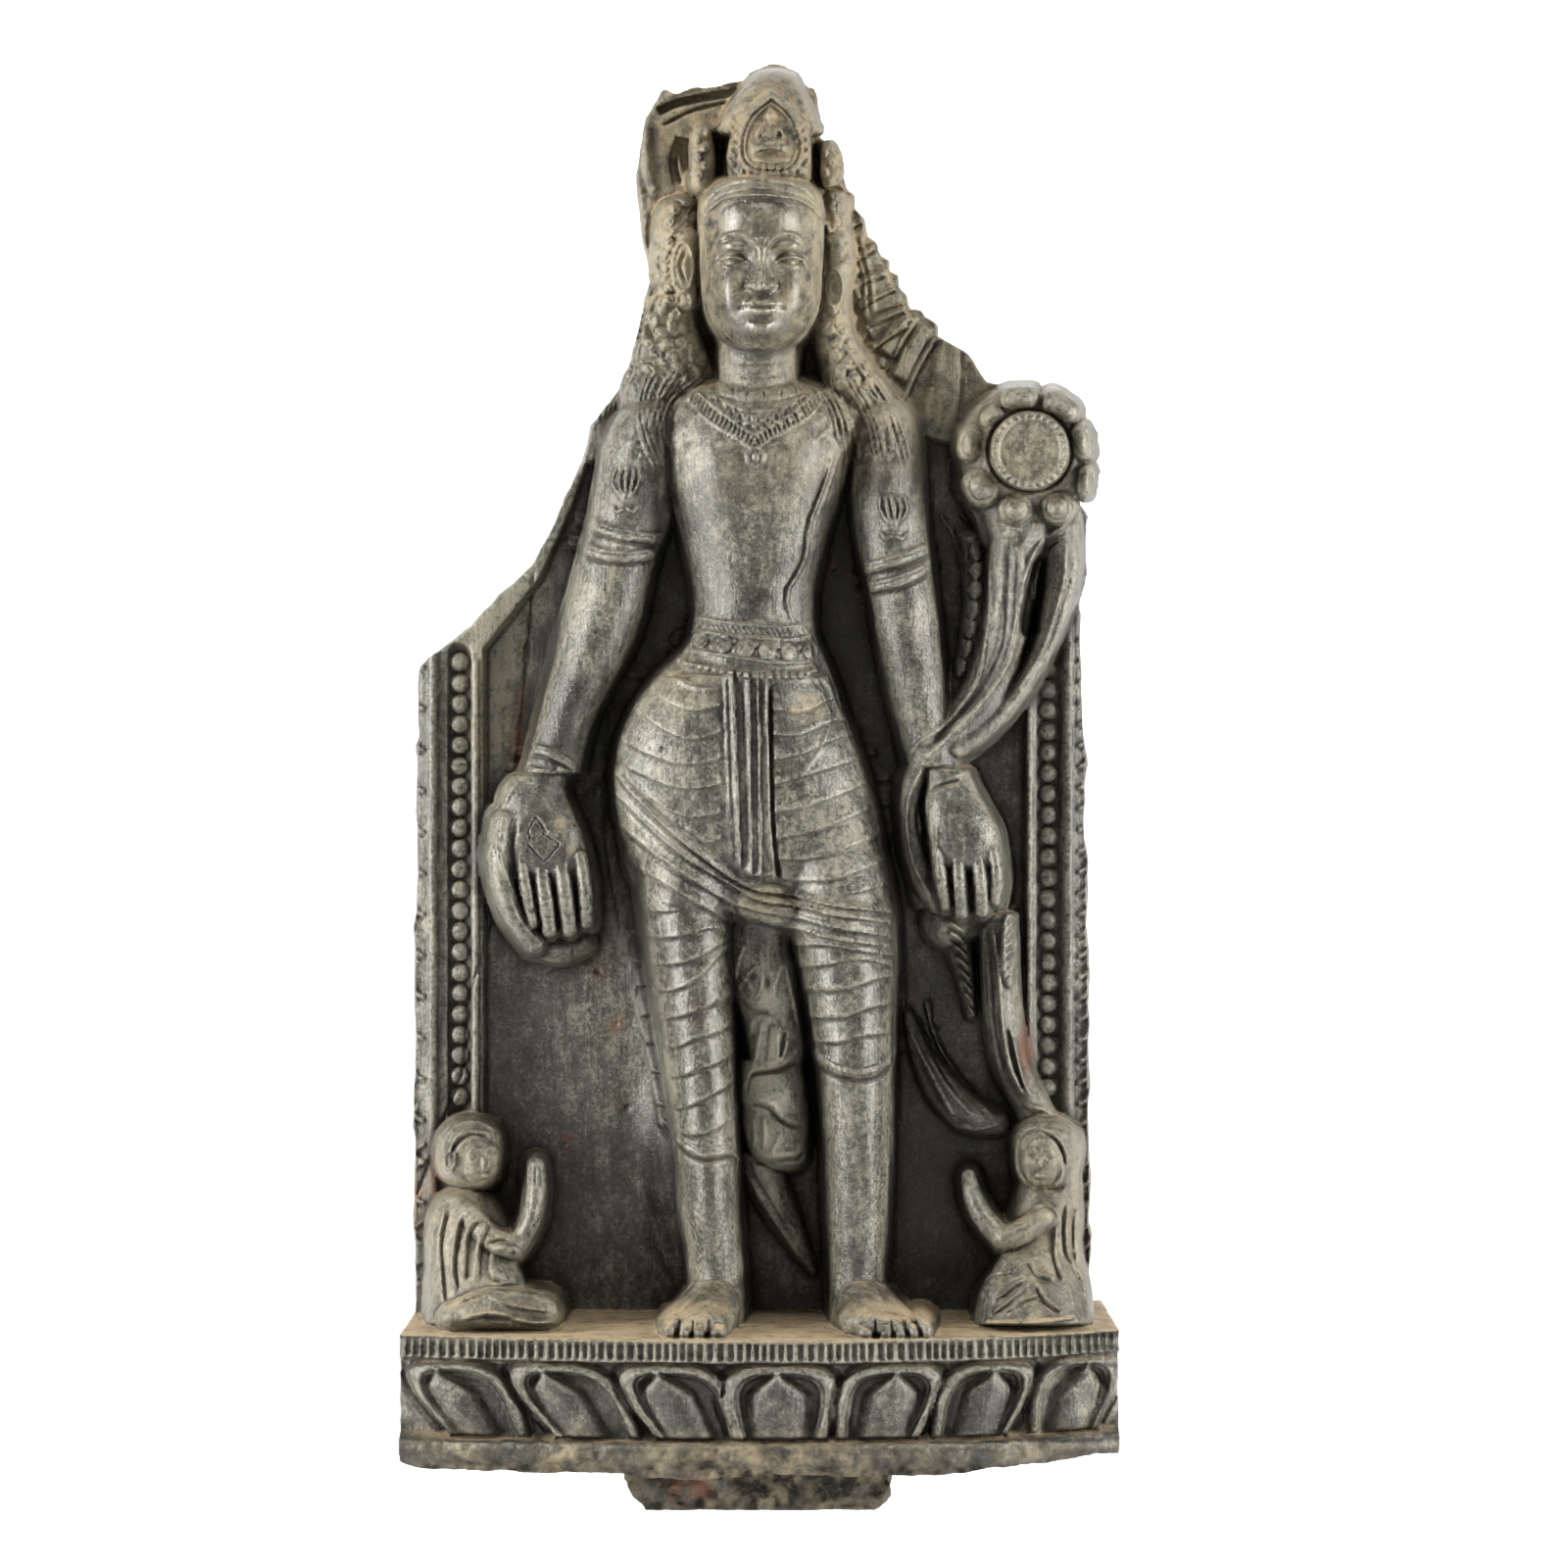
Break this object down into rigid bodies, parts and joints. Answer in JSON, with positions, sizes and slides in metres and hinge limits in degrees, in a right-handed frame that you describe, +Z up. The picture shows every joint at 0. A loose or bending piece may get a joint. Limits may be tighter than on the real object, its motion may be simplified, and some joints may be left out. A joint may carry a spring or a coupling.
{
  "type": "standing bodhisattva stele",
  "caption": "Carved stone stele of a standing bodhisattva in high relief on a lotus plinth, with a stub tenon below; stands on its underside.",
  "frame": {"origin": "centre of the box's bottom face, in the plane of the tenon's underside", "axes": "+Z up, +X to the viewer's right, +Y from the carved front to the dressed back"},
  "size_m": [0.47, 0.2, 0.956],
  "materials": {
    "schist": "dark grey schist, worn smooth and softly polished on the high relief, near black in the recesses, with pale brown dust on ledges"
  },
  "bodies": {
    "root": {"stele": "schist"}
  },
  "joints": []
}
